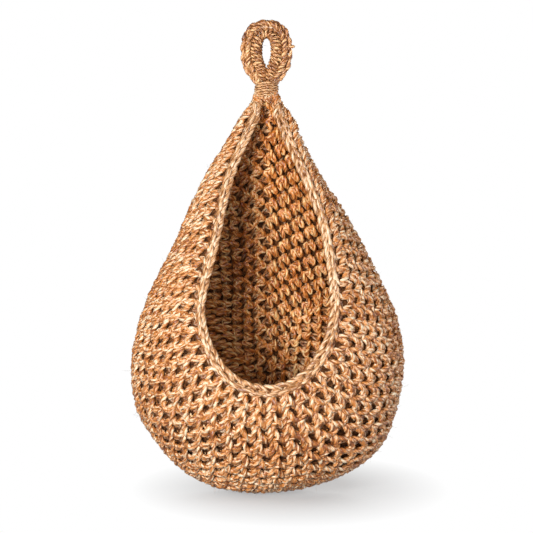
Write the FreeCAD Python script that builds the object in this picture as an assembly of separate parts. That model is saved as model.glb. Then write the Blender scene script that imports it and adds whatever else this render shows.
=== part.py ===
import FreeCAD, Part
import math
import os

os.makedirs("parts", exist_ok=True)
V = FreeCAD.Vector

# The frame: the origin is the top of the hanging loop's eye, where a hook bears. +Z is up, the mouth faces -Y.

# Basket body, measured over the outside of the crochet
basket_height = 361.8
belly_height = 114.7
belly_half_width = 124.0
front_depth = 87.0
back_depth = 62.0
neck_half_width = 10.8
wall = 8.0
body_upper_power = 1.6
body_upper_fall_power = 1.15
body_lower_power = 2.25
neck_closing_power = 8
neck_closing_share = 0.5

# Mouth, as the drop-shaped opening looks from the front
mouth_top_drop = 5.1
mouth_widest_height = 173.7
mouth_base_height = 104.7
mouth_half_width = 55.0
mouth_upper_power = 1.35
mouth_upper_fall_power = 0.8
mouth_lower_power = 2.1
rim_proud = 1.0

# Rounds of crochet, from the start ring low on the back out to the mouth
round_count = 20
start_height = 76.7
start_hole_radius = 2.5
heart_height = 126.7
points_per_half_round = 18
steps_per_column = 60
halvings = 44

# Neck, bound with thin twine
neck_length = 15.1
gather_radius = 8.7
gather_height = 7.5
twine_diameter = 1.7
twine_pitch = 2.15
twine_turns = 6
twine_clearance = 0.12
checks_per_turn = 48

# Hanging loop: a cord covered with stitches, with a chain braid along its outer edge
eye_width = 8.6
eye_height = 28.4
leg_run = 11.1
wrap_diameter = 10.4
core_diameter = 4.2
edge_diameter = 8.4
edge_gather_height = 12.5
leg_bend_radius = 30.0

# Room between pieces, and how far a cut runs past what it cuts
running_clearance = 0.3
fit_clearance = 0.2
overrun = 20.0

# Levels that follow from the sizes above
neck_top = -(eye_height + leg_run)
neck_foot = neck_top - neck_length
basket_top = neck_foot - running_clearance
basket_base = basket_top - basket_height
belly_level = basket_base + belly_height
heart = V(0, 0, basket_base + heart_height)
wrap_radius = wrap_diameter / 2
hinge_level = neck_top + running_clearance + wrap_radius


def drop_half_width(z, top, widest, base, half_width, neck, upper_power, fall_power, lower_power):
    """Half-width of a drop at height z: a rounded belly below its widest level, a falling shoulder above."""
    if z >= widest:
        rise = min((z - widest) / (top - widest), 1)
        return neck + (half_width - neck) * (1 - rise ** upper_power) ** fall_power
    sink = min((widest - z) / (widest - base), 1)
    return half_width * (1 - sink ** lower_power) ** (1 / lower_power)


def outer_half_width(z):
    """Half-width of the basket's outside at height z."""
    return drop_half_width(
        z, basket_top, belly_level, basket_base, belly_half_width, neck_half_width,
        body_upper_power, body_upper_fall_power, body_lower_power,
    )


def inner_half_width(z):
    """Half-width of the hollow at height z. It closes just under the neck."""
    if z < belly_level:
        return drop_half_width(
            z, basket_top, belly_level, basket_base + wall, belly_half_width - wall, 0,
            body_upper_power, body_upper_fall_power, body_lower_power,
        )
    rise = min((z - belly_level) / (basket_top - belly_level), 1)
    return outer_half_width(z) - wall * (1 + neck_closing_share * rise ** neck_closing_power)


def is_inside(point, half_width, inset, top):
    """True where a point lies inside the oval sections whose half-width at each height is given."""
    if not basket_base + inset < point.z < top:
        return False
    reach = half_width(point.z)
    depth = front_depth if point.y < 0 else back_depth
    flatness = (depth - inset) / (belly_half_width - inset)
    return reach > 0 and point.x ** 2 + (point.y / flatness) ** 2 < reach ** 2


def wall_point(direction, outer):
    """The point where a ray from the basket's heart meets the outside, or the inside, of the wall."""
    half_width = outer_half_width if outer else inner_half_width
    inset = 0 if outer else wall
    top = basket_top + gather_height if outer else basket_top
    near = 0
    far = basket_height
    for halving in range(halvings):
        middle = (near + far) / 2
        if is_inside(heart + direction * middle, half_width, inset, top):
            near = middle
        else:
            far = middle
    return heart + direction * near


def unit(vector):
    """The vector at length 1."""
    return vector / vector.Length


def mouth_edge_point(turn):
    """A point on the mouth's right edge, from the lip (turn 0) round to the neck (turn pi)."""
    top = basket_top - mouth_top_drop
    base = basket_base + mouth_base_height
    z = top - (top - base) * math.cos(turn / 2)
    x = drop_half_width(
        z, top, basket_base + mouth_widest_height, base, mouth_half_width, 0,
        mouth_upper_power, mouth_upper_fall_power, mouth_lower_power,
    )
    across = max(outer_half_width(z) ** 2 - x ** 2, 0)
    return V(x, -front_depth / belly_half_width * math.sqrt(across), z)


def column_directions(edge_point, shares):
    """Directions along one column of stitches, from the start ring to a point of the mouth's edge.

    The column lies in the plane of the heart, the start ring and the edge point, and the directions
    divide its length along the outside in the given shares.
    """
    back = V(0, back_depth / belly_half_width * outer_half_width(basket_base + start_height),
             basket_base + start_height)
    start = unit(back - heart)
    end = unit(edge_point - heart)
    whole_angle = math.acos(start.dot(end))
    side = unit(end - start * start.dot(end))
    angles = [whole_angle * step / steps_per_column for step in range(steps_per_column + 1)]
    points = [wall_point(start * math.cos(a) + side * math.sin(a), True) for a in angles]
    lengths = [0]
    for last, point in zip(points, points[1:]):
        lengths.append(lengths[-1] + (point - last).Length)
    directions = []
    for share in shares:
        target = lengths[-1] * share
        step = max(i for i in range(steps_per_column) if lengths[i] <= target)
        part_way = (target - lengths[step]) / (lengths[step + 1] - lengths[step])
        angle = angles[step] + (angles[step + 1] - angles[step]) * part_way
        directions.append(start * math.cos(angle) + side * math.sin(angle))
    return directions


def round_shares():
    """Where the edges between rounds lie along a column, from the start hole (near 0) to the mouth (1)."""
    bands = round_count + 1
    hole_share = start_hole_radius / basket_height
    return [hole_share] + [band / bands for band in range(1, bands + 1)]


def round_edges():
    """For each edge between rounds, its directions from the lip round the right side to the neck."""
    shares = round_shares()
    turns = [math.pi * i / points_per_half_round for i in range(points_per_half_round + 1)]
    columns = [column_directions(mouth_edge_point(turn), shares) for turn in turns]
    return [[column[i] for column in columns] for i in range(len(shares))]


def edge_curve(directions, outer, proud):
    """A smooth edge through the wall's points in the given directions, raised off the wall by proud."""
    lift = proud if outer else -proud
    points = [wall_point(d, outer) + d * lift for d in directions]
    for point in (points[0], points[-1]):
        point.x = 0
    curve = Part.BSplineCurve()
    curve.interpolate(points)
    return curve.toShape()


def band_solid(lower, upper, proud):
    """One round: a closed band of the wall between two edges, its right half mirrored to the left."""
    low_out = edge_curve(lower, True, proud)
    low_in = edge_curve(lower, False, proud)
    high_out = edge_curve(upper, True, proud)
    high_in = edge_curve(upper, False, proud)
    pairs = ((low_out, high_out), (high_out, high_in), (high_in, low_in), (low_in, low_out))
    faces = [Part.makeRuledSurface(one, other) for one, other in pairs]
    origin = V(0, 0, 0)
    across = V(1, 0, 0)
    faces += [face.mirror(origin, across) for face in faces]
    shell = Part.Shell(faces)
    shell.sewShape()
    solid = Part.Solid(shell)
    if solid.Volume < 0:
        solid.reverse()
    return solid


def cut_at_neck(solid):
    """The band as it ends under the binding, flat at the top of the basket."""
    if solid.BoundBox.ZMax <= basket_top:
        return solid
    reach = belly_half_width + overrun
    below = Part.makeBox(2 * reach, 2 * reach, basket_height + overrun, V(-reach, -reach, basket_base - overrun))
    return solid.common(below)


def basket_rounds():
    """The rounds of crochet and the rim, by name."""
    edges = round_edges()
    rounds = {}
    for index in range(round_count):
        rounds["round_%02d" % (index + 1)] = cut_at_neck(band_solid(edges[index], edges[index + 1], 0))
    rounds["mouth_rim"] = cut_at_neck(band_solid(edges[round_count], edges[round_count + 1], rim_proud))
    return rounds


def arc_middle(start, corner, end):
    """The middle of the arc that leaves start towards corner and arrives at end from it."""
    chord_middle = (start + end) / 2
    half_chord = (end - start).Length / 2
    side = (corner - start).Length
    tilt = math.acos(min(half_chord / side, 1))
    return chord_middle + unit(corner - chord_middle) * (half_chord * math.tan(tilt / 2))


def biarc(start, start_way, end, end_way):
    """Two arcs, smooth where they meet, from one point and direction to another."""
    span = end - start
    ways = start_way + end_way
    a = 2 * start_way.dot(end_way) - 2
    b = -2 * span.dot(ways)
    c = span.dot(span)
    reach = (-b - math.sqrt(b * b - 4 * a * c)) / (2 * a)
    first_corner = start + start_way * reach
    last_corner = end - end_way * reach
    joint = (first_corner + last_corner) / 2
    first = Part.Arc(start, arc_middle(start, first_corner, joint), joint)
    last = Part.Arc(joint, arc_middle(joint, last_corner, end), end)
    return [first.toShape(), last.toShape()]


def whipping_point(turns):
    """A point on the middle of the binding twine, turns along it from its lower end."""
    radius = gather_radius + twine_clearance + twine_diameter / 2
    angle = 2 * math.pi * turns
    lowest = neck_foot + (neck_length - twine_turns * twine_pitch) / 2
    return V(radius * math.cos(angle), radius * math.sin(angle), lowest + twine_pitch * turns)


def whipping_way(turns):
    """The direction of the binding twine at that point."""
    radius = gather_radius + twine_clearance + twine_diameter / 2
    angle = 2 * math.pi * turns
    around = 2 * math.pi * radius
    return unit(V(-around * math.sin(angle), around * math.cos(angle), twine_pitch))


def print_whipping_gap():
    """Measures the least gap between the binding's turns, on points along the twine."""
    points = [whipping_point(i / checks_per_turn) for i in range(twine_turns * checks_per_turn + 1)]
    apart = checks_per_turn // 2
    nearest = min(
        (points[j] - points[i]).Length for i in range(len(points)) for j in range(i + apart, len(points))
    )
    print("binding: least gap between turns %.2f mm" % (nearest - twine_diameter))


def neck_whipping():
    """Thin twine wound round the neck in one unbroken tube, with straight ends."""
    quarters = [i / 4 for i in range(4 * twine_turns + 1)]
    edges = []
    first_way = whipping_way(quarters[0])
    first = whipping_point(quarters[0])
    tail_start = first - first_way * twine_diameter
    edges.append(Part.LineSegment(tail_start, first).toShape())
    for turn, next_turn in zip(quarters, quarters[1:]):
        edges += biarc(whipping_point(turn), whipping_way(turn), whipping_point(next_turn), whipping_way(next_turn))
    last = whipping_point(quarters[-1])
    edges.append(Part.LineSegment(last, last + whipping_way(quarters[-1]) * twine_diameter).toShape())
    section = Part.Wire(Part.makeCircle(twine_diameter / 2, tail_start, first_way))
    return Part.Wire(edges).makePipeShell([section], True, False)


def leg_place():
    """How far each of the loop's legs stands from the middle where they come together."""
    return wrap_radius + fit_clearance / 2


def tail(side, diameter):
    """A rod where one end of the loop's cord runs down through the neck."""
    return Part.makeCylinder(diameter / 2, neck_length, V(side * leg_place(), 0, neck_foot))


def neck_gather():
    """The gathered top of the crochet inside the binding, with the loop's two cord ends through it."""
    solid = Part.makeCylinder(gather_radius, neck_length, V(0, 0, neck_foot))
    for side in (-1, 1):
        solid = solid.cut(tail(side, core_diameter + 2 * fit_clearance))
    return solid


def loop_path(offset, foot):
    """The line round the loop, offset outwards from the middle of its wrapped cord, down to the foot level."""
    top_radius = eye_width / 2 + wrap_radius
    top_centre = -eye_width / 2
    meeting = -eye_height
    height = top_centre - meeting
    tilt = math.asin(top_radius / math.hypot(leg_place(), height)) - math.atan2(leg_place(), height)
    bend_x = leg_place() + leg_bend_radius
    inner = leg_bend_radius - offset
    bend_z = meeting - leg_bend_radius * math.tan(tilt / 2)
    radius = top_radius + offset

    def on_bend(angle):
        return V(bend_x - inner * math.cos(angle), 0, bend_z + inner * math.sin(angle))

    foot_point = V(leg_place() + offset, 0, foot)
    leg_top = V(radius * math.cos(tilt), 0, top_centre - radius * math.sin(tilt))
    crown = V(0, 0, top_centre + radius)

    def other(point):
        return V(-point.x, 0, point.z)

    return Part.Wire([
        Part.LineSegment(foot_point, on_bend(0)).toShape(),
        Part.Arc(on_bend(0), on_bend(tilt / 2), on_bend(tilt)).toShape(),
        Part.LineSegment(on_bend(tilt), leg_top).toShape(),
        Part.Arc(leg_top, crown, other(leg_top)).toShape(),
        Part.LineSegment(other(leg_top), other(on_bend(tilt))).toShape(),
        Part.Arc(other(on_bend(tilt)), other(on_bend(tilt / 2)), other(on_bend(0))).toShape(),
        Part.LineSegment(other(on_bend(0)), other(foot_point)).toShape(),
    ])


def loop_tube(diameter, offset, foot):
    """A round tube along the loop."""
    path = loop_path(offset, foot)
    start = path.OrderedVertexes[0].Point
    section = Part.Wire(Part.makeCircle(diameter / 2, start, V(0, 0, 1)))
    return path.makePipeShell([section], True, False)


def loop_foot_room():
    """The space a leg may fill: everything above the fold line, and a round about it below."""
    width = 2 * (belly_half_width + overrun)
    corner = V(-width / 2, -width / 2, hinge_level)
    above = Part.makeBox(width, width, overrun + eye_height + eye_width + wrap_diameter + edge_diameter, corner)
    below = Part.makeCylinder(wrap_radius, width, V(-width / 2, 0, hinge_level), V(1, 0, 0))
    return above.fuse(below)


def loop_wrap():
    """The covering of stitches round the loop's cord."""
    foot = neck_top + running_clearance
    whole = loop_tube(wrap_diameter, 0, foot)
    bore = loop_tube(core_diameter + 2 * fit_clearance, 0, foot)
    return whole.cut(bore).common(loop_foot_room())


def loop_core():
    """The cord inside the loop."""
    return loop_tube(core_diameter, 0, neck_top + running_clearance).common(loop_foot_room())


def edge_gather_room(full_half_width):
    """The space the loop's edge may fill: it draws in to the neck's width over the gather height."""
    crown = eye_width + wrap_diameter + edge_diameter + overrun
    reach = full_half_width + overrun
    slant = neck_top + edge_gather_height * (reach - gather_radius) / (full_half_width - gather_radius)
    right = [V(gather_radius, 0, neck_top), V(reach, 0, slant), V(reach, 0, slant + crown)]
    left = [V(-point.x, 0, point.z) for point in reversed(right)]
    outline = Part.makePolygon(right + left + right[:1])
    outline.translate(V(0, -edge_diameter, 0))
    return Part.Face(outline).extrude(V(0, 2 * edge_diameter, 0))


def loop_edge():
    """The chain braid along the loop's outer edge."""
    offset = wrap_radius + edge_diameter / 2 + fit_clearance / 2
    whole = loop_tube(edge_diameter, offset, neck_top + running_clearance)
    drawn_in = whole.common(edge_gather_room(leg_place() + offset + edge_diameter / 2))
    return drawn_in.common(loop_foot_room())


pieces = basket_rounds()
pieces["neck_gather"] = neck_gather()
pieces["neck_whipping"] = neck_whipping()
pieces["loop_tail_left"] = tail(-1, core_diameter)
pieces["loop_tail_right"] = tail(1, core_diameter)
pieces["loop_wrap"] = loop_wrap()
pieces["loop_core"] = loop_core()
pieces["loop_edge"] = loop_edge()

for name, shape in pieces.items():
    print("%s: %d solid, valid %s, %.0f mm3" % (name, len(shape.Solids), shape.isValid(), shape.Volume))
    shape.exportStep("parts/" + name + ".step")
print_whipping_gap()
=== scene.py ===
import math

import bmesh
import bpy
import numpy as np
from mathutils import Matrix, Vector


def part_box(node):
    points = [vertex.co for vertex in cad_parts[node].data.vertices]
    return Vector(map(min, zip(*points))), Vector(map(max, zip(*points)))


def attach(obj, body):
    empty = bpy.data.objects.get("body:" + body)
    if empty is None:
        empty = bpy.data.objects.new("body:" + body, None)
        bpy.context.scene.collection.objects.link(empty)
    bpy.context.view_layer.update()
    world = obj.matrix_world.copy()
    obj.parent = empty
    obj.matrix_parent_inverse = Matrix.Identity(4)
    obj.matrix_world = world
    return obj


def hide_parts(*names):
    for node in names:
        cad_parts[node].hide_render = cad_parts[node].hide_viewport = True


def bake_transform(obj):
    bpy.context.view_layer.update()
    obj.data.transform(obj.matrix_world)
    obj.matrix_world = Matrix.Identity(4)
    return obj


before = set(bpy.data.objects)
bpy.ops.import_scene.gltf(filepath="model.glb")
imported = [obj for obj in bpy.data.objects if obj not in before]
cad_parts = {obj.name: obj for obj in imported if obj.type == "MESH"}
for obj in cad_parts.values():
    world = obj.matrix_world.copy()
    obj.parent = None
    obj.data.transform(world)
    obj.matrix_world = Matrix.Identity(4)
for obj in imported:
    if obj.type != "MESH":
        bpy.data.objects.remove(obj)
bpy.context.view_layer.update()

# The rounds of crochet: one length of two-ply jute twine worked in rings of single crochet, from a start
# ring low on the back out to the mouth. Each round hangs on the chain along the top of the round below it,
# and its stitches stand evenly along it: six more in each round up to the belly, then as many as below.
round_names = sorted(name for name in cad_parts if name.startswith("round_"))
round_count = len(round_names)
running_clearance = 0.0003
basket_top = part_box("neck_gather")[0].z - running_clearance
basket_base = min(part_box(name)[0].z for name in round_names)
basket_height = basket_top - basket_base
belly_level = basket_base + 0.1147
belly_half_width = 0.124
front_depth = 0.087
back_depth = 0.062
neck_half_width = 0.0108
neck_cap = basket_top + 0.0075
wall = 0.008
mouth_top = basket_top - 0.0051
mouth_widest = basket_base + 0.1737
mouth_base = basket_base + 0.1047
mouth_half_width = 0.055
heart = np.array([0, 0, basket_base + 0.1267])
start_level = basket_base + 0.0767
start_share = 0.007
rounds_end_share = 0.966


def unit(vectors):
    """Vectors at length 1."""
    return vectors / np.linalg.norm(vectors, axis=-1, keepdims=True)


def path_lengths(line):
    """Length along a path at each of its points, or along each path of several."""
    gaps = np.diff(line, axis=-2, prepend=line[..., :1, :])
    return np.cumsum(np.linalg.norm(gaps, axis=-1), axis=-1)


def at_lengths(at, lengths, values):
    """Values known at some lengths along a path, taken at other lengths in proportion."""
    return np.stack([np.interp(at, lengths, axis) for axis in values.T], -1)


def drop(z, top, widest, base, half_width, neck, upper, fall, lower):
    """Half-width of a drop at height z: a super-ellipse below its widest level, a falling shoulder above.

    Upper and fall are the powers that round the shoulder, and lower is the power of the super-ellipse.
    """
    rise = np.clip((z - widest) / (top - widest), 0, 1)
    sink = np.clip((widest - z) / (widest - base), 0, 1)
    above = neck + (half_width - neck) * (1 - rise ** upper) ** fall
    below = half_width * (1 - sink ** lower) ** (1 / lower)
    return np.where(z >= widest, above, below)


def body_half_width(z):
    """Half-width of the basket's outside at height z."""
    return drop(z, basket_top, belly_level, basket_base, belly_half_width, neck_half_width,
                upper=1.6, fall=1.15, lower=2.25)


def mouth_edge(turn):
    """The mouth's right edge, from the lip (turn 0) to the neck (turn pi), on the oval front of the body."""
    z = mouth_top - (mouth_top - mouth_base) * np.cos(turn / 2)
    x = drop(z, mouth_top, mouth_widest, mouth_base, mouth_half_width, neck=0,
             upper=1.35, fall=0.8, lower=2.1)
    across = np.maximum(body_half_width(z) ** 2 - x ** 2, 0)
    return np.stack([x, -front_depth / belly_half_width * np.sqrt(across), z], -1)


def wall_along(directions):
    """Where rays from the heart leave the body: each reach is halved in on until it meets the wall."""
    halvings = 40
    near = np.zeros(directions.shape[:-1])
    far = np.full_like(near, basket_height)
    for halving in range(halvings):
        middle = (near + far) / 2
        x, y, z = np.moveaxis(heart + directions * middle[..., None], -1, 0)
        flatness = np.where(y < 0, front_depth, back_depth) / belly_half_width
        in_outline = x ** 2 + (y / flatness) ** 2 < body_half_width(z) ** 2
        inside = in_outline & (z > basket_base) & (z < neck_cap)
        near = np.where(inside, middle, near)
        far = np.where(inside, far, middle)
    return heart + directions * near[..., None]


def wall_grid(turns, shares):
    """The right half of the wall's outside as a grid.

    Each column lies in the plane of the heart, the start ring and a point of the mouth's edge, and the
    shares divide its length from the start ring (0) to the mouth (1).
    """
    fine_steps = 161
    back = np.array([0, back_depth / belly_half_width * body_half_width(start_level), start_level])
    start = unit(back - heart)
    edge = unit(mouth_edge(turns) - heart)
    along = edge @ start
    side = unit(edge - along[:, None] * start)
    angles = np.arccos(along)[:, None] * np.linspace(0, 1, fine_steps)
    fine = wall_along(np.cos(angles)[..., None] * start + np.sin(angles)[..., None] * side[:, None])
    lengths = path_lengths(fine)
    even = np.stack([np.interp(shares, row / row[-1], angle) for row, angle in zip(lengths, angles)])
    return wall_along(np.cos(even)[..., None] * start + np.sin(even)[..., None] * side[:, None])


grid_turns = np.linspace(0, np.pi, 145)
grid_shares = np.linspace(start_share, 1, 169)


def eased_back(grid):
    """The grid with its columns near the middle of the back averaged with their neighbours.

    The neighbours beyond the middle are mirror images of those before it. The easing fades out towards the
    sides and towards the mouth.
    """
    reach = 18
    blur = 7
    begins, full = 2.55, 2.90
    share_full, share_ends = 0.78, 0.92
    mirrored = np.concatenate([grid, grid[-2:-reach - 2:-1] * np.array([-1, 1, 1])])
    steps = np.arange(-reach, reach + 1)
    weights = np.exp(-0.5 * (steps / blur) ** 2)
    count = len(grid) - reach
    shifted = (mirrored[reach + step:reach + step + count] for step in steps)
    eased = grid.copy()
    eased[reach:] = sum(weight * columns for weight, columns in zip(weights, shifted)) / weights.sum()
    near_back = np.clip((grid_turns - begins) / (full - begins), 0, 1)[:, None, None]
    off_mouth = np.clip((share_ends - grid_shares) / (share_ends - share_full), 0, 1)[:, None]
    return grid + (eased - grid) * near_back * off_mouth


wall_outside = eased_back(wall_grid(grid_turns, grid_shares))
slope_round = np.gradient(wall_outside, grid_turns, axis=0)
slope_column = np.gradient(wall_outside, grid_shares, axis=1)
wall_inward = unit(np.cross(slope_column, slope_round))


def look_up(grid, turn, share):
    """A grid's value between its four nearest points, in proportion to their distance."""
    a = np.clip(turn / grid_turns[-1], 0, 1) * (len(grid_turns) - 1)
    b = (share - grid_shares[0]) / (grid_shares[-1] - grid_shares[0]) * (len(grid_shares) - 1)
    i = np.clip(a.astype(int), 0, len(grid_turns) - 2)
    j = np.clip(b.astype(int), 0, len(grid_shares) - 2)
    p = (a - i)[..., None]
    q = np.clip(b - j, -1, 2)[..., None]
    low = grid[i, j] * (1 - p) + grid[i + 1, j] * p
    high = grid[i, j + 1] * (1 - p) + grid[i + 1, j + 1] * p
    return low * (1 - q) + high * q


spread_begins = 0.82
spread_set_back = 0.35


def mouth_spread(turn, share):
    """How far the mouth's edge is drawn open sideways: most on its upper right.

    It fades out smoothly over the last rounds before the edge.
    """
    right = np.interp(turn, [1.2, 1.6, 2.0, 2.3, 2.6, 2.8, 2.95, np.pi],
                      [0, 0.003, 0.0075, 0.010, 0.0090, 0.0060, 0.0032, 0])
    left = np.interp(-turn, [1.0, 1.5, 2.3, 2.7, np.pi], [0, 0.0025, 0.0015, 0.001, 0])
    near_edge = np.clip((share - spread_begins) / (1 - spread_begins), 0, 1)
    return (right - left) * near_edge ** 2 * (3 - 2 * near_edge)


def on_wall(turn, share, depth):
    """Points at a turn, a share of the column and a depth under the outside.

    The left side mirrors the right, apart from the spread of the mouth, which also sets its edge back.
    """
    wrapped = (turn + np.pi) % (2 * np.pi) - np.pi
    place = look_up(wall_outside, np.abs(wrapped), share)
    place = place + look_up(wall_inward, np.abs(wrapped), share) * depth[..., None]
    spread = mouth_spread(wrapped, share)
    place[..., 0] = place[..., 0] * np.where(wrapped < 0, -1, 1) + spread
    place[..., 1] += spread_set_back * np.abs(spread)
    return place


def as_hung(points):
    """Points moved sideways as the soft wall hangs, each move fading out above and below its own level.

    The wall leans left below the neck and right above the base, the shoulders are full, and the right flank
    swells while the left one is drawn in.
    """
    x, y, z = np.moveaxis(points, -1, 0)

    def near(level, reach):
        """1 at a level, fading to nothing over the reach above and below it."""
        return np.exp(-((z - level) / reach) ** 2)

    across = np.clip(x / belly_half_width, -1, 1)
    left_below_neck = 0.0033 * near(basket_top - 0.063, 0.038)
    right_above_base = 0.0034 * near(basket_base + 0.043, 0.020)
    left_at_base = 0.0058 * near(basket_base, 0.012)
    right_swell = 0.0042 * np.maximum(across, 0) * near(belly_level + 0.042, 0.045)
    left_drawn_in = 0.0050 * np.maximum(-across, 0) * near(belly_level + 0.112, 0.030)
    shoulders = 0.16 * x * near(basket_top - 0.018, 0.013)
    lean = right_above_base - left_below_neck - left_at_base
    return np.stack([x + lean + right_swell + left_drawn_in + shoulders, y, z], -1)


bound_neck_radius = 0.0088
neck_flare = 0.85


def drawn_in(points):
    """Points of the hung wall, with those near the binding drawn in to the bound neck's radius.

    Below the neck that radius grows by the flare with each step down.
    """
    radius = np.hypot(points[..., 0], points[..., 1])
    most = bound_neck_radius + neck_flare * np.maximum(basket_top - points[..., 2], 0)
    share = (most / np.maximum(radius, most))[..., None]
    return as_hung(np.concatenate([points[..., :2] * share, points[..., 2:]], -1))


stitches_added = 6
most_stitches = 53


def half_round_lengths(share):
    """Length along one round at each of the grid's turns, from the front to the back."""
    return path_lengths(look_up(wall_outside, grid_turns, np.full_like(grid_turns, share)))


def stitch_columns(edges):
    """For each round, the turns of its stitches at its top and at its foot, beginning at the back.

    The stitches are even along the round, and each is worked into the nearest stitch of the round below.
    """
    counts = np.minimum(stitches_added * np.arange(1, len(edges)), most_stitches)
    lengths = [half_round_lengths(edge) for edge in edges]
    rows = []
    for index, count in enumerate(counts):
        below = counts[max(index - 1, 0)]
        middles = np.arange(count) + 0.5
        worked_into = np.floor(middles * below / count) + 0.5
        top = (2 * middles / count - 1) * lengths[index + 1][-1]
        foot = (2 * worked_into / below - 1) * lengths[index][-1]
        rows.append((np.sign(top) * np.interp(np.abs(top), lengths[index + 1], grid_turns),
                     np.sign(foot) * np.interp(np.abs(foot), lengths[index], grid_turns)))
    return rows


# One stitch of single crochet: how far along the round (in stitches), how far up it (in rounds) and how
# deep under the middle of the wall (in millimetres) the twine passes. The outside shows two legs, down to
# the hole and up again, the inside two slanting wraps, one above the other, and the top the chain.
stitch_path = np.array([
    (-0.66, 0.82, -2.5), (-0.49, 0.53, -2.9), (-0.26, 0.23, -2.9), (-0.06, 0.01, -1.8),
    (-0.08, -0.13, 0.0), (-0.34, -0.02, 1.9), (-0.34, 0.08, 3.3), (-0.02, 0.25, 4.2), (0.32, 0.42, 3.5),
    (0.36, 0.50, 2.3), (0.02, 0.48, 2.1), (-0.36, 0.46, 2.3), (-0.34, 0.56, 3.5), (-0.02, 0.75, 4.3),
    (0.32, 0.92, 3.6), (0.34, 0.92, 2.4), (0.22, 0.40, 1.8), (0.09, -0.13, 0.0), (0.10, 0.02, -1.8),
    (0.15, 0.40, -2.8), (0.16, 0.80, -2.5), (0.12, 1.03, -0.8), (0.06, 0.82, 1.7), (0.06, 0.46, 2.5),
    (0.32, 0.74, 1.7), (0.58, 1.00, 0.5), (0.94, 1.02, -0.7), (0.92, 1.22, -0.8),
    (0.72, 1.36, -1.9), (0.46, 1.21, -2.5), (0.24, 1.02, -2.2),
])
stitch_play = (0.022, 0.022, 0.18)
face_depth = 2.8
inside_depth = 3
sunk_depth = 2.2
fullness_play = 0.05
least_share = 0.001
most_sag = 0.036


def front_sag(turn, share):
    """How far down the front the rounds hang that its weight has opened, as a share of the column."""
    on_front = np.interp(np.abs(turn), [0.4, 1.2], [1, 0])
    over_rounds = np.interp(share, [0, 0.45, 0.66, 0.74, 0.83, 0.91, 0.95, 1],
                            [0, 0.6, 1, 0.9, 0.45, 0, -0.1, 0])
    return most_sag * on_front * over_rounds


def round_path(top, foot, lower, upper, chance):
    """A twine's way round one round: the stitch's path at each column, moved a little by chance.

    How far the stitches lean over changes all round: one way on the left of the front, the other way on the
    right and behind. The twine is fullest where it lies on either face of the wall, and drawn thin where it
    goes through. Returns places, each with the fullness, and the share inside and the share sunk in the
    wall, which set its painted shade.
    """
    count = len(top)
    at = np.arange(-2, count + 2)
    tops = top[at % count] + 2 * np.pi * (at // count)
    feet = foot[at % count] + 2 * np.pi * (at // count)
    steps = np.arange(count)[:, None, None] * np.array([1, 0, 0]) + stitch_path
    steps = steps + chance.normal(0, stitch_play, steps.shape)
    lean = np.interp(top, [-np.pi, -2.9, -2.3, -1.3, -0.5, 0.0, 0.5, 1.3, 2.1, np.pi],
                     [1.0, 0.9, -0.1, -0.45, -0.40, -0.10, 0.15, 0.7, 1.0, 1.0])
    steps[..., 0] -= lean[:, None] * (steps[..., 1] - 0.5)
    along, up, deep = steps.reshape(-1, 3).T
    low_turn = np.interp(along, at, feet)
    turn = low_turn + (np.interp(along, at, tops) - low_turn) * up
    share = lower + (upper - lower) * up
    share = np.clip(share - front_sag(turn, share), least_share, 1)
    place = drawn_in(on_wall(turn, share, wall / 2 + deep / 1000))
    # The shares inside and sunk are masks of the painted shade on the basket's inside and in the wall.
    inside = np.clip(deep / inside_depth, 0, 1)
    on_face = np.clip(np.abs(deep) / face_depth, 0, 1)
    on_front = np.clip(-deep / face_depth, 0, 1)
    sunk = np.clip(1 - np.abs(deep) / sunk_depth, 0, 1)
    fullness = np.repeat(chance.normal(1, fullness_play, count), len(stitch_path))
    fullness *= 0.86 + 0.36 * on_face + 0.26 * inside + 0.16 * on_front
    fullness *= np.interp(np.abs(turn), [0, 0.6, 1.5, 2.4], [1.12, 1.08, 1.0, 0.86])
    fullness *= np.interp(share, [0.5, 0.8], [0.84, 1])
    return np.concatenate([place, np.stack([fullness, inside, sunk], -1)], -1)


def smooth_path(points, closed, step):
    """A Catmull-Rom curve through the points, in equal steps of length.

    Columns beyond the first three are carried along.
    """
    steps_per_span = 6
    if closed:
        ring = np.concatenate([points[-1:], points, points[:2]])
    else:
        ring = np.concatenate([2 * points[:1] - points[1:2], points, 2 * points[-1:] - points[-2:-1]])
    a, b, c, d = ring[:-3, None], ring[1:-2, None], ring[2:-1, None], ring[3:, None]
    t = np.linspace(0, 1, steps_per_span, endpoint=False)[None, :, None]
    line = b + 0.5 * t * (c - a + t * (2 * a - 5 * b + 4 * c - d + t * (3 * (b - c) + d - a)))
    line = np.concatenate([line.reshape(-1, ring.shape[1]), ring[-2:-1]])
    lengths = path_lengths(line[:, :3])
    count = max(int(round(lengths[-1] / step)), 4)
    line = at_lengths(np.linspace(0, lengths[-1], count + 1), lengths, line)
    return line[:-1] if closed else line


def times(a, b):
    """Quaternion products, scalar part first."""
    scalar = a[..., :1] * b[..., :1] - np.sum(a[..., 1:] * b[..., 1:], -1, keepdims=True)
    vector = a[..., :1] * b[..., 1:] + b[..., :1] * a[..., 1:] + np.cross(a[..., 1:], b[..., 1:])
    return np.concatenate([scalar, vector], -1)


def turned(vectors, by):
    """Vectors turned by quaternions."""
    twice = 2 * np.cross(by[..., 1:], vectors)
    return vectors + by[..., :1] * twice + np.cross(by[..., 1:], twice)


def shortest_turn(a, b):
    """The quaternion that turns direction a to direction b the short way.

    Its scalar part is a hair over 1 plus the cosine, so that opposite directions also give a turn.
    """
    return unit(np.concatenate([1.0001 + np.sum(a * b, -1, keepdims=True), np.cross(a, b)], -1))


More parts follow.
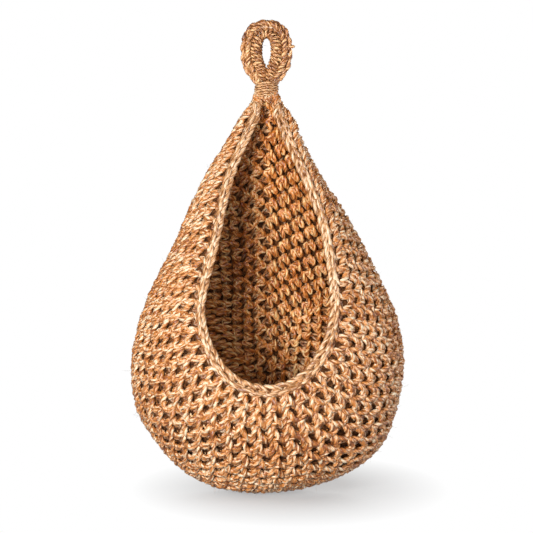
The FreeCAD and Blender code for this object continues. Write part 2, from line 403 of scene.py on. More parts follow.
def carried_frames(line, closed):
    """Two directions square to a path at each of its points, carried along it without twisting.

    The small turns between neighbours are multiplied up in doubling steps, and what is left over round a
    closed path is spread along it.
    """
    before = np.roll(line, 1, 0) if closed else np.concatenate([2 * line[:1] - line[1:2], line[:-1]])
    after = np.roll(line, -1, 0) if closed else np.concatenate([line[1:], 2 * line[-1:] - line[-2:-1]])
    ahead = unit(after - before)
    total = np.concatenate([[[1.0, 0, 0, 0]], shortest_turn(ahead[:-1], ahead[1:])])
    reach = 1
    while reach < len(total):
        total[reach:] = unit(times(total[reach:], total[:-reach]))
        reach *= 2
    first = unit(np.cross(ahead[0], np.eye(3)[np.argmin(np.abs(ahead[0]))]))
    across = turned(np.broadcast_to(first, ahead.shape), total)
    if closed:
        end = turned(across[-1], shortest_turn(ahead[-1], ahead[0]))
        slip = math.atan2(np.dot(np.cross(end, first), ahead[0]), np.dot(end, first))
        spread = (slip * np.arange(len(line)) / len(line))[:, None]
        across = across * np.cos(spread) + np.cross(ahead, across) * np.sin(spread)
    across = unit(across - ahead * np.sum(across * ahead, -1, keepdims=True))
    return across, np.cross(ahead, across)


def mesh_piece(name, points, faces, maps, material):
    """A smooth mesh object of quads, with its UV maps given per face corner.

    Points that fall together are joined.
    """
    mesh = bpy.data.meshes.new(name)
    mesh.vertices.add(len(points))
    mesh.vertices.foreach_set("co", points.astype(np.float32).ravel())
    mesh.loops.add(faces.size)
    mesh.loops.foreach_set("vertex_index", faces.astype(np.int32).ravel())
    mesh.polygons.add(len(faces))
    mesh.polygons.foreach_set("loop_start", np.arange(0, faces.size, 4, dtype=np.int32))
    mesh.polygons.foreach_set("use_smooth", np.ones(len(faces), bool))
    mesh.update(calc_edges=True)
    for map_name, corners in maps.items():
        layer = mesh.uv_layers.new(name=map_name, do_init=False)
        layer.uv.foreach_set("vector", corners.astype(np.float32).ravel())
    welded = bmesh.new()
    welded.from_mesh(mesh)
    bmesh.ops.remove_doubles(welded, verts=welded.verts, dist=1e-6)
    welded.to_mesh(mesh)
    welded.free()
    mesh.materials.append(material)
    piece = bpy.data.objects.new(name, mesh)
    bpy.context.scene.collection.objects.link(piece)
    return piece


twine_radius = 0.0021
twine_lay = 0.017
twine_groove = 0.32
twine_step = 0.0021
lobe_lift = 0.35
row_margin = 0.06


def twine_tubes(lines, radius, lay, closed, sides=8, groove=0.2):
    """Two-ply twine along one or more paths: a section of two lobes that turns once in each length of lay.

    A path may carry three more columns: how full the twine is, and how far inside and how far sunk it is,
    which set its painted shade. Returns points, faces and UV maps: one of length along the twine and share
    round it, one of the two shade columns, and one that folds the twine into rows that fill the square.
    """
    points, faces, yarn_map, shade_map, places = [], [], [], [], []
    start = 0
    for line in lines:
        count = len(line)
        fullness = line[:, 3:4] if line.shape[1] > 3 else np.ones((count, 1))
        shade_columns = line[:, 4:6] if line.shape[1] > 4 else np.zeros((count, 2))
        line = line[:, :3]
        across, upward = carried_frames(line, closed)
        gaps = np.linalg.norm(np.roll(line, -1, 0) - line, axis=-1)
        length = np.concatenate([[0], np.cumsum(gaps)])
        turns = length[:count] / (length[count] / max(round(length[count] / lay), 1))
        lobe = 2 * np.pi * np.arange(sides) / sides
        angle = lobe + 2 * np.pi * turns[:, None]
        section = radius * (1 + lobe_lift * groove - groove * np.sin(lobe) ** 2) * fullness
        if not closed:
            ends = np.minimum(np.arange(count), np.arange(count)[::-1])
            section *= np.sqrt(np.clip(ends / 2, 0, 1))[:, None]
        ring = np.cos(angle)[..., None] * across[:, None] + np.sin(angle)[..., None] * upward[:, None]
        points.append((line[:, None] + section[..., None] * ring).reshape(-1, 3))
        i, j = np.meshgrid(np.arange(count if closed else count - 1), np.arange(sides), indexing="ij")
        i2, j2 = (i + 1) % count, (j + 1) % sides
        quads = np.stack([i * sides + j, i * sides + j2, i2 * sides + j2, i2 * sides + j], -1)
        faces.append(start + quads.reshape(-1, 4))
        along = np.stack([length[i], length[i], length[i + 1], length[i + 1]], -1)
        round_it = np.stack([j, j + 1, j + 1, j], -1) / sides
        yarn_map.append(np.stack([along, round_it], -1).reshape(-1, 2))
        shade_map.append(np.stack([shade_columns[i], shade_columns[i], shade_columns[i2], shade_columns[i2]], -2).reshape(-1, 2))
        places.append(i.reshape(-1) + (places[-1][-1] + 1 if places else 0))
        start += count * sides
    place = np.concatenate(places)
    rows = max(int(math.sqrt(place[-1] * twine_step / (2 * np.pi * radius))), 1)
    per_row = math.ceil((place[-1] + 1) / rows)
    step = (place % per_row)[:, None] + np.array([0, 0, 1, 1])
    side = np.tile(np.arange(sides)[:, None] + np.array([0, 1, 1, 0]), (len(place) // sides, 1))
    row = (place // per_row)[:, None] + row_margin + (1 - 2 * row_margin) * side / sides
    bake_map = np.stack([step / per_row, row / rows], -1).reshape(-1, 2)
    maps = {"Yarn": np.concatenate(yarn_map), "InnerShade": np.concatenate(shade_map), "OFBake": bake_map}
    return np.concatenate(points), np.concatenate(faces), maps


# Painted shade: a warm tint for the basket's inside face and a dark one for twine sunk in the wall.
inside_shade_tint = (1.0, 0.83, 0.54)
sunk_shade_tint = (0.30, 0.22, 0.16)
sheen_tint = (1.0, 0.86, 0.7)
fine_weight = 3.2
coarse_weight = 0.7
slow_weight = 0.5
# Painted shade: how much darker the groove between the plies is than their crowns.
groove_shade_weight = 0.2
groove_shade_mean = 0.64
tone_shift = 1.72


def jute(name, dark, middle, pale):
    """Jute twine: streaks of pale and dark fibre that follow the twist of its two plies.

    Painted shade darkens the groove between the plies, the colour changes slowly along the twine, painted
    shade warms the basket's inside and darkens what is sunk in the wall, and there is a soft sheen.
    """
    material = bpy.data.materials.new(name)
    material.use_nodes = True
    tree = material.node_tree
    shader = tree.nodes["Principled BSDF"]

    def node(kind, **values):
        """A new node with its settings."""
        made = tree.nodes.new(kind)
        for key, value in values.items():
            setattr(made, key, value)
        return made

    def math_node(operation, *sources):
        """The result of one sum on sockets or plain numbers."""
        made = node("ShaderNodeMath", operation=operation)
        for socket, source in zip(made.inputs, sources):
            if isinstance(source, (int, float)):
                socket.default_value = source
            else:
                tree.links.new(source, socket)
        return made.outputs[0]

    place = node("ShaderNodeSeparateXYZ")
    tree.links.new(node("ShaderNodeUVMap", uv_map="Yarn").outputs[0], place.inputs[0])
    length, share = place.outputs[0], place.outputs[1]
    twist = math_node("MULTIPLY", share, 2 * math.pi)
    round_x = math_node("COSINE", twist)
    round_y = math_node("SINE", twist)
    ridge = math_node("ABSOLUTE", round_x)

    def streaks(cells_round, cell_length, detail):
        """Noise in cells of a given length along the twine, so many of them round it."""
        spot = node("ShaderNodeCombineXYZ")
        tree.links.new(math_node("MULTIPLY", round_x, cells_round), spot.inputs[0])
        tree.links.new(math_node("MULTIPLY", round_y, cells_round), spot.inputs[1])
        tree.links.new(math_node("DIVIDE", length, cell_length), spot.inputs[2])
        noise = node("ShaderNodeTexNoise")
        noise.inputs["Scale"].default_value = 1
        noise.inputs["Detail"].default_value = detail
        noise.inputs["Roughness"].default_value = 0.65
        tree.links.new(spot.outputs[0], noise.inputs["Vector"])
        return noise.outputs["Fac"]

    def tinted(colour, amount, tint):
        """A colour multiplied by a tint, as far as the amount says."""
        mixed = node("ShaderNodeMix", data_type="RGBA", blend_type="MULTIPLY")
        tree.links.new(amount, mixed.inputs["Factor"])
        tree.links.new(colour, mixed.inputs["A"])
        mixed.inputs["B"].default_value = (*tint, 1)
        return mixed.outputs["Result"]

    fine = streaks(cells_round=1.15, cell_length=0.009, detail=4)
    coarse = streaks(cells_round=0.7, cell_length=0.016, detail=2)
    slow = node("ShaderNodeTexNoise")
    slow.inputs["Scale"].default_value = 26
    slow.inputs["Detail"].default_value = 3
    tree.links.new(node("ShaderNodeTexCoord").outputs["Object"], slow.inputs["Vector"])
    tone = math_node("MULTIPLY", fine, fine_weight)
    tone = math_node("ADD", tone, math_node("MULTIPLY", coarse, coarse_weight))
    tone = math_node("ADD", tone, math_node("MULTIPLY", slow.outputs["Fac"], slow_weight))
    # Painted shade in the groove between the plies, and lighter crowns.
    groove_shade = math_node("SUBTRACT", ridge, groove_shade_mean)
    tone = math_node("ADD", tone, math_node("MULTIPLY", groove_shade, groove_shade_weight))
    tone = math_node("SUBTRACT", tone, tone_shift)
    ramp = node("ShaderNodeValToRGB")
    stops = ramp.color_ramp.elements
    stops[0].position = 0.2
    stops[0].color = (*dark, 1)
    stops[1].position = 0.85
    stops[1].color = (*pale, 1)
    stops.new(0.52).color = (*middle, 1)
    tree.links.new(tone, ramp.inputs[0])
    # Painted shade: warm on the twine of the basket's inside face, dark on twine sunk in the wall.
    shade_mask = node("ShaderNodeSeparateXYZ")
    tree.links.new(node("ShaderNodeUVMap", uv_map="InnerShade").outputs[0], shade_mask.inputs[0])
    inside_shaded = tinted(ramp.outputs[0], shade_mask.outputs[0], inside_shade_tint)
    tree.links.new(tinted(inside_shaded, shade_mask.outputs[1], sunk_shade_tint), shader.inputs["Base Color"])
    bump = node("ShaderNodeBump")
    bump.inputs["Strength"].default_value = 0.9
    bump.inputs["Distance"].default_value = 0.0006
    tree.links.new(math_node("ADD", math_node("MULTIPLY", ridge, 0.8), fine), bump.inputs["Height"])
    tree.links.new(bump.outputs[0], shader.inputs["Normal"])
    shader.inputs["Roughness"].default_value = 0.36
    shader.inputs["Specular IOR Level"].default_value = 0.55
    shader.inputs["Sheen Weight"].default_value = 0.03
    shader.inputs["Sheen Roughness"].default_value = 0.4
    shader.inputs["Sheen Tint"].default_value = (*sheen_tint, 1)
    return material


crochet_jute = jute("crochet_jute", (0.19, 0.050, 0.009), (0.55, 0.206, 0.042), (0.67, 0.535, 0.365))

# Painted shade: a near-black band in the middle of each round's wall, seen as dark through the stitch holes.
hole_shade = bpy.data.materials.new("painted_hole_shade")
hole_shade.use_nodes = True
nodes, links = hole_shade.node_tree.nodes, hole_shade.node_tree.links
hole_shade_shader = nodes["Principled BSDF"]
hole_shade_shader.inputs["Roughness"].default_value = 0.9
hole_shade_shader.inputs["Specular IOR Level"].default_value = 0.1
hole_shade_noise = nodes.new("ShaderNodeTexNoise")
hole_shade_noise.inputs["Scale"].default_value = 420
hole_shade_noise.inputs["Detail"].default_value = 4
hole_shade_ramp = nodes.new("ShaderNodeValToRGB")
hole_shade_stops = hole_shade_ramp.color_ramp.elements
hole_shade_stops[0].position = 0.35
hole_shade_stops[0].color = (0.012, 0.004, 0.0015, 1)
hole_shade_stops[1].position = 0.70
hole_shade_stops[1].color = (0.13, 0.048, 0.015, 1)
links.new(nodes.new("ShaderNodeTexCoord").outputs["Object"], hole_shade_noise.inputs["Vector"])
links.new(hole_shade_noise.outputs["Fac"], hole_shade_ramp.inputs[0])
links.new(hole_shade_ramp.outputs[0], hole_shade_shader.inputs["Base Color"])
hole_shade_points = 240
hole_shade_depths = np.array([-0.0005, -0.0005, 0.0003, 0.0003])


def hole_shade_band(lower, upper):
    """The painted shade in the middle of one round's wall: a thin ring of four corners along the round."""
    corners = 4
    turn = np.repeat(np.linspace(-np.pi, np.pi, hole_shade_points, endpoint=False)[:, None], corners, 1)
    share = np.broadcast_to([lower, upper, upper, lower], turn.shape)
    depth = np.broadcast_to(wall / 2 + hole_shade_depths, turn.shape)
    points = drawn_in(on_wall(turn, share, depth))
    i, j = np.meshgrid(np.arange(hole_shade_points), np.arange(corners), indexing="ij")
    i2, j2 = (i + 1) % hole_shade_points, (j + 1) % corners
    quads = np.stack([i * corners + j, i2 * corners + j, i2 * corners + j2, i * corners + j2], -1)
    return points.reshape(-1, 3), quads.reshape(-1, 4), {}


first_seed = 100
round_edges = np.concatenate([[start_share], np.arange(1, round_count + 1) / round_count * rounds_end_share])
blend_foot = basket_top - 0.045
for index, (top, foot) in enumerate(stitch_columns(round_edges)):
    lower, upper = round_edges[index:index + 2]
    path = round_path(top, foot, lower, upper, np.random.default_rng(first_seed + index))
    line = smooth_path(path, True, twine_step)
    twine = twine_tubes([line], twine_radius, twine_lay, True, groove=twine_groove)
    piece = mesh_piece("crochet_%02d" % (index + 1), *twine, crochet_jute)
    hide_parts(round_names[index])
    # Each round's band of painted shade, in the middle of its wall.
    middle = mesh_piece("felt_%02d" % (index + 1), *hole_shade_band(lower, upper), hole_shade)
    for made in (piece, middle):
        if line[:, 2].max() > blend_foot:
            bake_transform(made)
        else:
            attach(made, "basket")

# The rim: a row of slip stitches worked into the last round, of the same twine. Its top is a flat braid of
# two strands, each link drawn through the one before. It rolls over the edge, least at the lip and more up
# both sides, where it is also narrower, and its ends run up into the neck.
rim_share = 0.986
rim_pitch = 0.0108
rim_half_width = 0.0036
rim_side_width = 0.64
rim_lift = 0.0018
rim_proud = 0.0008
rim_twine = 0.0023
rim_lay = 0.026
rim_groove = 0.12
rim_step = 0.0019
inner_aside = 0.0010
inner_depth = 0.0034
inner_step = 0.0024
neck_points = 39
neck_reach = 0.012
rim_points = 1201
rim_points_cut = 24

# One link of a chain: how far along it (in links), how far aside (in half-widths) and how high (in lifts)
# the twine passes.
chain_path = np.array([
    (-0.14, 0.16, -1.1), (0.06, 0.26, 0.3), (0.38, 0.62, 1.1), (0.80, 0.98, 0.9), (1.20, 0.98, 0.3),
    (1.42, 0.50, -0.4), (1.48, 0.00, -0.6), (1.42, -0.50, -0.4), (1.20, -0.98, 0.3), (0.80, -0.98, 0.9),
    (0.38, -0.62, 1.1), (0.06, -0.26, 0.3), (-0.14, -0.16, -1.1), (0.35, 0.00, -1.9),
])
chain_play = (0.02, 0.05, 0.08)


def chain(lengths, lines, pitch, half_width, lift, chance):
    """A crochet chain along a path: each link comes up through the link before, opens and closes again.

    The path is given as its lengths with the places, the sideways and the facing directions at them.
    Half-widths are given at the same lengths, and the lift is how much one unit of the link's height is.
    """
    count = round(lengths[-1] / pitch)
    steps = np.arange(count)[:, None, None] * np.array([1, 0, 0]) + chain_path
    along, aside, up = (steps + chance.normal(0, chain_play, steps.shape)).reshape(-1, 3).T
    at = np.clip(along / count, 0, 1) * lengths[-1]
    place, sideways, facing = (at_lengths(at, lengths, line) for line in lines)
    aside = aside * np.interp(at, lengths, half_width)
    return place + unit(sideways) * aside[:, None] + unit(facing) * (up * lift)[:, None]


def with_ends(values):
    """Values along the mouth's edge, held on over the points that run up into the neck at either end."""
    first = np.repeat(values[:1], neck_points, 0)
    last = np.repeat(values[-1:], neck_points, 0)
    return np.concatenate([first, values, last])


rim_turns = -np.linspace(-np.pi, np.pi, rim_points)[rim_points_cut:-rim_points_cut]
rim_level = np.full_like(rim_turns, rim_share)
rim_line = on_wall(rim_turns, rim_level, np.full_like(rim_turns, wall / 2))
rim_out = with_ends(rim_line - on_wall(rim_turns, rim_level, np.full_like(rim_turns, wall)))
rim_roll = with_ends(np.radians(np.interp(rim_turns, [-1.2, 0, 1.2], [50, 15, 38])))[:, None]
rim_width = with_ends(rim_half_width * np.interp(np.abs(rim_turns), [0.5, 1.4], [1, rim_side_width]))
neck_rise = np.linspace(neck_reach, 0, neck_points + 1)[:-1, None] * np.array([0, 0, 1])
rim_line = np.concatenate([rim_line[0] + neck_rise, rim_line, rim_line[-1] + neck_rise[::-1]])
rim_along = unit(np.gradient(rim_line, axis=0))
rim_out = unit(rim_out - rim_along * np.sum(rim_out * rim_along, -1, keepdims=True))
rim_inwards = np.cross(rim_along, rim_out)
rim_facing = rim_out * np.cos(rim_roll) + rim_inwards * np.sin(rim_roll)
rim_sideways = np.cross(rim_facing, rim_along)
rim_chain = chain(path_lengths(rim_line), (rim_line + rim_facing * rim_proud, rim_sideways, rim_facing),
                  rim_pitch, rim_width, rim_lift, np.random.default_rng(7))
rim_inner = rim_line + rim_sideways * inner_aside - rim_facing * inner_depth
rim_twines = [
    smooth_path(drawn_in(rim_chain), False, rim_step),
    smooth_path(drawn_in(rim_inner[::6]), False, inner_step),
]
rim_jute = jute("rim_jute", (0.19, 0.066, 0.017), (0.52, 0.262, 0.104), (0.66, 0.50, 0.34))
rim_tubes = twine_tubes(rim_twines, rim_twine, rim_lay, False, groove=rim_groove)
rim = mesh_piece("rim_braid", *rim_tubes, rim_jute)
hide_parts("mouth_rim")
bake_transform(rim)

# The gathered neck: the tops of the last rounds, of the same twine, drawn together to a bundle of strands
# that stand a little aslant round one in the middle. The binding holds it shut on the ends of the loop.
gather_low, gather_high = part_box("neck_gather")
gather_count = 9
gather_radius = 0.0061
gather_slant = 30
gather_twine = 0.0024
gather_step = 0.0019
gather_rise = np.linspace(gather_low.z - 0.003, gather_high.z - 0.0005, 9)
gather_turns = np.append(np.arange(gather_count) / gather_count * 2 * np.pi, 0)[:, None]
gather_reach = np.append(np.full(gather_count, gather_radius), 0)[:, None]
gather_angle = gather_turns + gather_rise * gather_slant
strands = np.stack([gather_reach * np.cos(gather_angle), gather_reach * np.sin(gather_angle),
                    np.broadcast_to(gather_rise, gather_angle.shape)], -1)
strands = [smooth_path(strand, False, gather_step) for strand in strands]
gather = mesh_piece("gathered_neck", *twine_tubes(strands, gather_twine, twine_lay, False), crochet_jute)
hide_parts("neck_gather")
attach(gather, "neck_binding")

# The binding: a thinner jute twine wound tight round the neck, a little aslant and fullest half-way up, with
# its ends tucked under the turns. It holds the gathered neck and the ends of the loop together.
binding_radius = 0.00112
binding_lay = 0.012
binding_groove = 0.05
binding_step = 0.0013
binding_turns = 6.0
binding_start = 1.9
bound_radius = 0.0097
binding_top = gather_high.z - 0.0009
binding_foot = gather_low.z + 0.0008
binding_slant = 0.06
binding_bulge = 0.06
tuck_depth = 0.22
tuck_share = 1 / 30
wind = np.linspace(0, 1, 400)
winding = 2 * np.pi * binding_turns * wind + binding_start
tuck = 1 - tuck_depth * np.clip(1 - np.minimum(wind, 1 - wind) / tuck_share, 0, 1)
bulge = bound_radius * tuck * (1 - binding_bulge * np.cos(2 * np.pi * wind))
binding_rise = binding_foot + (binding_top - binding_foot) * wind + binding_slant * bulge * np.cos(winding)
binding_line = np.stack([bulge * np.cos(winding), bulge * np.sin(winding), binding_rise], -1)
binding_line = smooth_path(binding_line, False, binding_step)
binding_jute = jute("binding_twine", (0.25, 0.094, 0.027), (0.57, 0.282, 0.110), (0.71, 0.50, 0.29))
binding_tube = twine_tubes([binding_line], binding_radius, binding_lay, False, groove=binding_groove)
binding = mesh_piece("binding", *binding_tube, binding_jute)
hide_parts("neck_whipping")
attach(binding, "neck_binding")

# The hanging loop's core: a plain jute cord bent round the eye and hidden by the stitches over it. Its two
# ends run down into the neck, where the binding holds them.
cord_radius = 0.002
cord_lay = 0.011
cord_step = 0.002

# The right half of the loop's middle line: how far aside and how high it passes, in millimetres.
loop_half = np.array([
    (0, 3.9), (3.2, 3.2), (6.0, 0.7), (7.9, -4.2), (8.5, -9.9), (8.5, -16.0), (7.6, -21.2), (5.7, -25.6),
    (4.2, -29.6), (3.5, -34.0), (3.3, -38.0), (3.4, -44.5),
]) / 1000
loop_step = 0.0004
core_jute = jute("core_cord", (0.14, 0.05, 0.014), (0.37, 0.17, 0.064), (0.56, 0.36, 0.20))


def loop_points(foot):
    """The middle of the wrapped loop, from its left foot over the crown to its right foot."""
    right = np.stack([loop_half[:, 0], 0 * loop_half[:, 0], loop_half[:, 1]], -1)
    line = smooth_path(np.concatenate([right[:0:-1] * np.array([-1, 1, 1]), right]), False, loop_step)
    return line[line[:, 2] > foot]


def cord(name, line):
    """A piece of the core's cord along a line."""
    path = smooth_path(line, False, cord_step)
    return mesh_piece(name, *twine_tubes([path], cord_radius, cord_lay, False), core_jute)


core = cord("loop_core_cord", loop_points(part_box("loop_core")[0].z)[::10])
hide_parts("loop_core")
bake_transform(core)
for node in ("loop_tail_left", "loop_tail_right"):
    low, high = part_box(node)
    x, y = (low.x + high.x) / 2, (low.y + high.y) / 2
    tail = cord(node + "_cord", np.linspace((x, y, low.z), (x, y, high.z), 6))
    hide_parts(node)
    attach(tail, "neck_binding")

# The loop's cover: stitches of jute twine worked close together over the core, seen as wraps that stand
# square to it and reach further on its outer side. They are drawn narrower towards the binding.
wrap_radius = 0.0052
wrap_pitch = 0.0031
wrap_points = 16
wrap_twine = 0.00165
wrap_lay = 0.010
wrap_step = 0.0016
wrap_reach = 0.0022
wrap_play = 0.08
wrap_foot = -0.0405
wrap_full = -0.030
wrap_narrowest = 0.70


def outwards(along):
    """Directions away from the eye, square to the loop's own directions."""
    return np.stack([-along[:, 2], 0 * along[:, 1], along[:, 0]], -1)


loop_line = loop_points(wrap_foot)
loop_lengths = path_lengths(loop_line)
loop_out = outwards(unit(np.gradient(loop_line, axis=0)))
wrap_at = np.linspace(0, loop_lengths[-1], round(loop_lengths[-1] / wrap_pitch) * wrap_points)
wrap_turn = 2 * np.pi * wrap_at / wrap_pitch + np.random.default_rng(11).normal(0, wrap_play, wrap_at.shape)
wrap_line = at_lengths(wrap_at, loop_lengths, loop_line)
wrap_out = unit(at_lengths(wrap_at, loop_lengths, loop_out))
narrowing = np.interp(wrap_line[:, 2], [wrap_foot, wrap_full], [wrap_narrowest, 1])
wrap_swing = np.cos(wrap_turn)
wrap_swing = (wrap_radius - wrap_twine) * wrap_swing + wrap_reach * np.clip(wrap_swing, 0, 1)
wrap_line = wrap_line + wrap_out * (wrap_swing * narrowing)[:, None]
wrap_line[:, 1] += (wrap_radius - wrap_twine) * narrowing * np.sin(wrap_turn)
wrap_line = smooth_path(wrap_line, False, wrap_step)
loop_jute = jute("loop_jute", (0.108, 0.029, 0.006), (0.41, 0.150, 0.0385), (0.72, 0.46, 0.225))
cover = mesh_piece("loop_cover", *twine_tubes([wrap_line], wrap_twine, wrap_lay, False), loop_jute)
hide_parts("loop_wrap")
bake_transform(cover)

# The loop's edge: the chain along the tops of those stitches, a braid of the same twine round the outside of
# the loop. It lies closer at the crown, and at its foot it is drawn in and held by the binding.
edge_pitch = 0.0098
edge_reach = 0.0098
edge_twine = 0.0022
edge_lay = 0.011
edge_step = 0.0018
edge_lift = 0.0017
edge_foot = -0.0445
edge_free = -0.026
crown_closer = 0.0014
edge_tilt = 38
crown_tilt = 40
edge_centre = loop_points(edge_foot)
edge_out = outwards(unit(np.gradient(edge_centre, axis=0)))
edge_crown = np.clip(edge_out[:, 2], 0, 1) ** 2
edge_centre = edge_centre + edge_out * (edge_reach - crown_closer * edge_crown)[:, None]
held = np.interp(edge_centre[:, 2], [edge_foot, -0.040, -0.034, edge_free], [0.0045, 0.0072, 0.0118, 0.0160])
held = np.where(edge_centre[:, 2] < edge_free, held, 1)
edge_centre[:, 0] = np.clip(edge_centre[:, 0], -held, held)
edge_along = unit(np.gradient(edge_centre, axis=0))
edge_out = outwards(edge_along)
edge_facing = np.radians(edge_tilt + crown_tilt * edge_crown)[:, None]
edge_face = edge_out * np.sin(edge_facing) + np.array([0, -1, 0]) * np.cos(edge_facing)
edge_side = np.cross(edge_face, edge_along)
edge_width = np.interp(edge_centre[:, 2], [edge_foot, -0.038, -0.030], [0.0010, 0.0022, 0.0034])
edge_chain = chain(path_lengths(edge_centre), (edge_centre, edge_side, edge_face), edge_pitch, edge_width,
                   edge_lift, np.random.default_rng(12))
edge_chain = smooth_path(edge_chain, False, edge_step)
braid = mesh_piece("loop_braid", *twine_tubes([edge_chain], edge_twine, edge_lay, False), loop_jute)
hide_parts("loop_edge")
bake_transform(braid)

# What goes with the braid: matted jute fibre behind its links, which closes the gaps between them, and the
# cut end of its twine, left standing out at the right.
matting_radius = 0.0039
matting_step = 0.0022
matting_depth = 0.0018
matting_inset = 0.0010
end_level = -0.0088
end_radius = 0.0016
end_step = 0.0008
end_upturn = 8.0
matted_line = (edge_centre - edge_face * matting_depth - edge_out * matting_inset)[::12]
matted_line = smooth_path(matted_line, False, matting_step)
matted_tube = twine_tubes([matted_line], matting_radius, edge_lay, False, groove=0)
matted = mesh_piece("loop_matting", *matted_tube, core_jute)
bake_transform(matted)
end_root = np.argmin(np.abs(edge_centre[:, 2] - end_level) + (edge_centre[:, 0] < 0))
end_reach = np.array([0, 0.0030, 0.0055, 0.0072, 0.0080])[:, None]
end_line = edge_centre[end_root] + edge_out[end_root] * end_reach
end_line[:, 2:] += end_upturn * end_reach ** 2
end_line = smooth_path(end_line, False, end_step)
twine_end = mesh_piece("loop_twine_end", *twine_tubes([end_line], end_radius, edge_lay, False), loop_jute)
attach(twine_end, "hanging_loop")

# Stray fibres: single jute hairs that stand off the crochet and the loop, as they do on any twine that has
# been worked by hand. Each is held by the twine that it comes from.
fibre_count = 620
fibre_radius = 0.00007
fibre_sides = 3
fibre_root_depth = 0.0003
fibre_aim_depth = 0.002
fibre_lean = 0.9
fibre_bend = 0.45
shortest_fibre = 0.003
longest_fibre = 0.009
loop_fibre_count = 70
loop_fibre_foot = -0.022
loop_fibre_spread = np.array([1, 8, 1])
fibre_chance = np.random.default_rng(21)
fibre_turns = fibre_chance.uniform(-np.pi, np.pi, fibre_count)
fibre_shares = fibre_chance.uniform(0.06, 0.99, fibre_count)
fibre_roots = drawn_in(on_wall(fibre_turns, fibre_shares, np.full(fibre_count, fibre_root_depth)))
fibre_aims = drawn_in(on_wall(fibre_turns, fibre_shares, np.full(fibre_count, fibre_aim_depth)))
low_enough = fibre_roots[:, 2] < blend_foot


def fibres(roots, outs):
    """Hairs from their roots: they rise, lean over by chance and bend to one side as they go."""
    count = len(roots)
    lean = unit(unit(outs) + fibre_chance.normal(0, fibre_lean, (count, 3)))
    bend = unit(fibre_chance.normal(0, 1, (count, 3)))
    length = fibre_chance.uniform(shortest_fibre, longest_fibre, count)[:, None, None]
    t = np.linspace(0, 1, 6)[:, None]
    lines = roots[:, None] + length * (t * lean[:, None] + fibre_bend * t ** 2 * bend[:, None])
    return twine_tubes(list(lines), fibre_radius, 1, False, fibre_sides, 0)


hair_tubes = fibres(fibre_roots[low_enough], (fibre_roots - fibre_aims)[low_enough])
hairs = mesh_piece("stray_fibres", *hair_tubes, rim_jute)
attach(hairs, "basket")
loop_pick = fibre_chance.integers(0, len(wrap_line), loop_fibre_count)
loop_roots = wrap_line[loop_pick]
loop_roots = loop_roots[loop_roots[:, 2] > loop_fibre_foot]
loop_hairs = mesh_piece("loop_fibres", *fibres(loop_roots, loop_roots * loop_fibre_spread), loop_jute)
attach(loop_hairs, "hanging_loop")

# The stage: a pale floor just under the basket that takes its soft shadow. Near the basket it is matt and a
# little lifted by a glow of its own, and further off it fades to pure white, as the background is.
floor_level = basket_base - 0.0015
floor_half = 4.0
floor_grey = 0.42
floor_glow = 0.19
fade_shape = (1.35, 1, 0)
fade_shift = (-0.03, -0.03, 0)
fade_starts = 0.07
fade_ends = 0.20
least_white = 0.2
floor_mesh = bpy.data.meshes.new("floor")
floor_mesh.from_pydata(
    [(-floor_half, -floor_half, floor_level), (floor_half, -floor_half, floor_level),
     (floor_half, floor_half, floor_level), (-floor_half, floor_half, floor_level)], [], [(0, 1, 2, 3)])
floor = bpy.data.objects.new("floor", floor_mesh)
bpy.context.scene.collection.objects.link(floor)
white = bpy.data.materials.new("white_floor")
white.use_nodes = True
floor_mesh.materials.append(white)
nodes, links = white.node_tree.nodes, white.node_tree.links
nodes.clear()
rays = nodes.new("ShaderNodeLightPath")
seen = nodes.new("ShaderNodeMath")
seen.operation = "MAXIMUM"
links.new(rays.outputs["Is Camera Ray"], seen.inputs[0])
links.new(rays.outputs["Is Glossy Ray"], seen.inputs[1])
pure = nodes.new("ShaderNodeEmission")
links.new(seen.outputs[0], pure.inputs["Strength"])
dim = nodes.new("ShaderNodeMath")
dim.operation = "MULTIPLY"
dim.inputs[1].default_value = floor_glow
links.new(seen.outputs[0], dim.inputs[0])
glow = nodes.new("ShaderNodeEmission")
links.new(dim.outputs[0], glow.inputs["Strength"])
matt = nodes.new("ShaderNodeBsdfDiffuse")
matt.inputs["Color"].default_value = (floor_grey, floor_grey, floor_grey, 1)
lifted = nodes.new("ShaderNodeAddShader")
links.new(matt.outputs[0], lifted.inputs[0])
links.new(glow.outputs[0], lifted.inputs[1])
flat = nodes.new("ShaderNodeVectorMath")
flat.operation = "MULTIPLY_ADD"
flat.inputs[1].default_value = fade_shape
flat.inputs[2].default_value = fade_shift
links.new(nodes.new("ShaderNodeTexCoord").outputs["Object"], flat.inputs[0])
far = nodes.new("ShaderNodeVectorMath")
far.operation = "LENGTH"
links.new(flat.outputs[0], far.inputs[0])
fade = nodes.new("ShaderNodeMapRange")
fade.inputs["From Min"].default_value = fade_starts
fade.inputs["From Max"].default_value = fade_ends
fade.inputs["To Min"].default_value = least_white
links.new(far.outputs["Value"], fade.inputs["Value"])
mixed = nodes.new("ShaderNodeMixShader")
links.new(fade.outputs[0], mixed.inputs[0])
links.new(lifted.outputs[0], mixed.inputs[1])
links.new(pure.outputs[0], mixed.inputs[2])
links.new(mixed.outputs[0], nodes.new("ShaderNodeOutputMaterial").inputs[0])

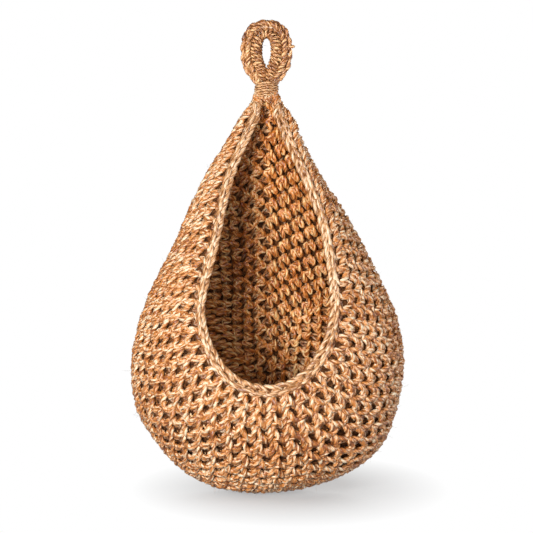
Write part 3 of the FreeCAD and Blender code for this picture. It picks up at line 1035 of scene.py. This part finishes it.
# The background: a plain studio all round, pure white where the camera sees it. It adds only a faint even
# light to the basket, and the lamps do the rest.
background_light = 0.03
world = bpy.data.worlds.new("studio")
bpy.context.scene.world = world
world.use_nodes = True
nodes, links = world.node_tree.nodes, world.node_tree.links
sky = nodes["Background"]
sky.inputs["Color"].default_value = (1, 1, 1, 1)
level = nodes.new("ShaderNodeMapRange")
level.inputs["To Min"].default_value = background_light
level.inputs["To Max"].default_value = 1.0
links.new(nodes.new("ShaderNodeLightPath").outputs["Is Camera Ray"], level.inputs["Value"])
links.new(level.outputs[0], sky.inputs["Strength"])

# The lamps: a key from the front left, a weaker lamp from the front, a fill from the right, and soft light
# from above and behind, all square and turned to the middle of the basket.
lamp_aim = Vector((0, 0, (basket_base + basket_top) / 2))


def soft_lamp(name, place, size, power):
    """A square lamp at a place, turned to the middle of the basket."""
    lamp = bpy.data.lights.new(name, "AREA")
    lamp.size = size
    lamp.energy = power
    made = bpy.data.objects.new(name, lamp)
    made.location = place
    made.rotation_euler = (lamp_aim - Vector(place)).to_track_quat("-Z", "Y").to_euler()
    bpy.context.scene.collection.objects.link(made)


soft_lamp("key", (-0.70, -1.51, -0.10), size=0.6, power=44.5)
soft_lamp("front", (0.20, -1.65, -0.10), size=0.5, power=10)
soft_lamp("fill", (1.60, -0.15, 0.0), size=0.8, power=17)
soft_lamp("top", (-0.1, -0.3, 1.2), size=0.8, power=3)
soft_lamp("back", (0.3, 1.8, 0.3), size=1.0, power=36)

# The camera: the photograph's view, from straight in front and a little above level. One pixel of its
# picture is as wide as on the photograph, and the top of the loop's eye is in the same row.
millimetres_per_pixel = 0.92
frame_pixels = 533
origin_row = 38.6
camera_distance = 1.6
camera_lift = math.radians(2.5)
sensor_width = 36
picture_width = frame_pixels * millimetres_per_pixel / 1000
aim_level = -(frame_pixels / 2 - origin_row) * millimetres_per_pixel / 1000
camera_data = bpy.data.cameras.new("camera")
camera_data.sensor_width = sensor_width
camera_data.lens = sensor_width * camera_distance / picture_width
camera = bpy.data.objects.new("camera", camera_data)
camera.location = (0, -camera_distance * math.cos(camera_lift),
                   aim_level + camera_distance * math.sin(camera_lift))
camera.rotation_euler = (math.pi / 2 - camera_lift, 0, 0)
bpy.context.scene.collection.objects.link(camera)
bpy.context.scene.camera = camera
bpy.context.scene.view_settings.view_transform = "Standard"
